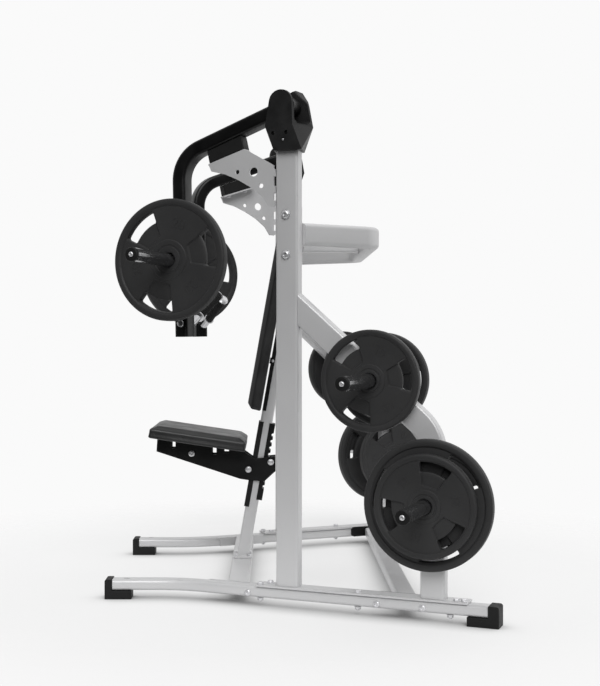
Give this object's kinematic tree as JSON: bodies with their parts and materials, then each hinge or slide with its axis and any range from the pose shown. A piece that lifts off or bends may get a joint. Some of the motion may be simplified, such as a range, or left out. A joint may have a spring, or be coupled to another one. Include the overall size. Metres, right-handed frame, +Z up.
{
  "type": "plate-loaded chest press machine",
  "caption": "Plate-loaded seated chest press with splayed side frames, independent swinging arms, padded seat and back, and weight-plate storage horns.",
  "frame": {"origin": "centre of the bounding box footprint, on the floor", "axes": "+Z up, +X to the rear, the seated user faces -X, +Y to the user's right"},
  "size_m": [1.4109, 2.3704, 1.877],
  "materials": {
    "silver_paint": "satin silver-grey powder coat",
    "black_paint": "fine satin black powder coat",
    "rubber": "matt black moulded rubber",
    "plate_rubber": "matt charcoal rubber",
    "vinyl": "satin black upholstery vinyl",
    "chrome": "polished chrome",
    "steel": "bright zinc-plated steel"
  },
  "bodies": {
    "frame": {"left_base_rail": "silver_paint", "left_front_foot": "rubber", "left_rear_foot": "rubber", "left_base_plate": "silver_paint", "left_rear_crossmember_bracket": "black_paint", "left_upright": "silver_paint", "left_storage_brace": "silver_paint", "left_upper_storage_horn": "chrome", "left_lower_storage_horn": "chrome", "left_pivot_housing": "black_paint", "left_pivot_axle": "steel", "left_stop_gusset": "silver_paint", "right_base_rail": "silver_paint", "right_front_foot": "rubber", "right_rear_foot": "rubber", "right_base_plate": "silver_paint", "right_rear_crossmember_bracket": "black_paint", "right_upright": "silver_paint", "right_storage_brace": "silver_paint", "right_upper_storage_horn": "chrome", "right_lower_storage_horn": "chrome", "right_pivot_housing": "black_paint", "right_pivot_axle": "steel", "right_stop_gusset": "silver_paint", "front_crossmember": "silver_paint", "rear_crossmember": "silver_paint", "rear_tie": "silver_paint", "back_strut": "silver_paint", "seat_post": "silver_paint", "seat_guide_strip": "rubber", "seat_rack": "black_paint", "back_pad": "vinyl", "back_bracket": "black_paint"},
    "left_arm": {"left_press_arm": "black_paint", "left_pivot_bearing": "steel", "left_arm_stop_block": "rubber", "left_arm_horn": "chrome", "left_handle_bar": "chrome", "left_handle_grip": "rubber"},
    "left_arm_weight": {"left_arm_plate": "plate_rubber"},
    "left_upper_outer_weight": {"left_upper_outer_plate": "plate_rubber"},
    "left_upper_inner_weight": {"left_upper_inner_plate": "plate_rubber"},
    "left_lower_big_weight": {"left_lower_big_plate": "plate_rubber"},
    "left_lower_outer_weight": {"left_lower_outer_plate": "plate_rubber"},
    "left_lower_inner_weight": {"left_lower_inner_plate": "plate_rubber"},
    "right_arm": {"right_press_arm": "black_paint", "right_pivot_bearing": "steel", "right_arm_stop_block": "rubber", "right_arm_horn": "chrome", "right_handle_bar": "chrome", "right_handle_grip": "rubber"},
    "right_arm_weight": {"right_arm_plate": "plate_rubber"},
    "right_upper_outer_weight": {"right_upper_outer_plate": "plate_rubber"},
    "right_upper_inner_weight": {"right_upper_inner_plate": "plate_rubber"},
    "right_lower_big_weight": {"right_lower_big_plate": "plate_rubber"},
    "right_lower_outer_weight": {"right_lower_outer_plate": "plate_rubber"},
    "right_lower_inner_weight": {"right_lower_inner_plate": "plate_rubber"},
    "seat": {"seat_pad": "vinyl", "seat_carriage": "black_paint", "seat_lock_pin": "steel"}
  },
  "joints": [
    {"name": "left_arm_pivot", "type": "hinge", "parent": "frame", "child": "left_arm", "pos_m": [-0.014, -0.62, 1.812], "axis": [0.3859, 0.9225, 0], "range_deg": [0, 50]},
    {"name": "left_arm_plate_slide", "type": "slide", "parent": "left_arm", "child": "left_arm_weight", "axis": [-0.3858, -0.9224, 0.0175], "range_m": [0, 0.25]},
    {"name": "left_upper_outer_plate_slide", "type": "slide", "parent": "frame", "child": "left_upper_outer_weight", "axis": [-0.3859, -0.9225, 0], "range_m": [0, 0.26]},
    {"name": "left_upper_inner_plate_slide", "type": "slide", "parent": "frame", "child": "left_upper_inner_weight", "axis": [0.3859, 0.9225, 0], "range_m": [0, 0.19]},
    {"name": "left_lower_big_plate_slide", "type": "slide", "parent": "frame", "child": "left_lower_big_weight", "axis": [-0.3859, -0.9225, 0], "range_m": [0, 0.27]},
    {"name": "left_lower_outer_plate_slide", "type": "slide", "parent": "left_lower_big_weight", "child": "left_lower_outer_weight", "axis": [-0.3859, -0.9225, 0], "range_m": [0, 0.24]},
    {"name": "left_lower_inner_plate_slide", "type": "slide", "parent": "frame", "child": "left_lower_inner_weight", "axis": [0.3859, 0.9225, 0], "range_m": [0, 0.2]},
    {"name": "right_arm_pivot", "type": "hinge", "parent": "frame", "child": "right_arm", "pos_m": [-0.014, 0.62, 1.812], "axis": [-0.3859, 0.9225, 0], "range_deg": [0, 50]},
    {"name": "right_arm_plate_slide", "type": "slide", "parent": "right_arm", "child": "right_arm_weight", "axis": [-0.3858, 0.9224, 0.0175], "range_m": [0, 0.25]},
    {"name": "right_upper_outer_plate_slide", "type": "slide", "parent": "frame", "child": "right_upper_outer_weight", "axis": [-0.3859, 0.9225, 0], "range_m": [0, 0.26]},
    {"name": "right_upper_inner_plate_slide", "type": "slide", "parent": "frame", "child": "right_upper_inner_weight", "axis": [0.3859, -0.9225, 0], "range_m": [0, 0.19]},
    {"name": "right_lower_big_plate_slide", "type": "slide", "parent": "frame", "child": "right_lower_big_weight", "axis": [-0.3859, 0.9225, 0], "range_m": [0, 0.27]},
    {"name": "right_lower_outer_plate_slide", "type": "slide", "parent": "right_lower_big_weight", "child": "right_lower_outer_weight", "axis": [-0.3859, 0.9225, 0], "range_m": [0, 0.24]},
    {"name": "right_lower_inner_plate_slide", "type": "slide", "parent": "frame", "child": "right_lower_inner_weight", "axis": [0.3859, -0.9225, 0], "range_m": [0, 0.2]},
    {"name": "seat_height", "type": "slide", "parent": "frame", "child": "seat", "axis": [0.1736, 0, 0.9848], "range_m": [-0.135, 0.081]}
  ]
}
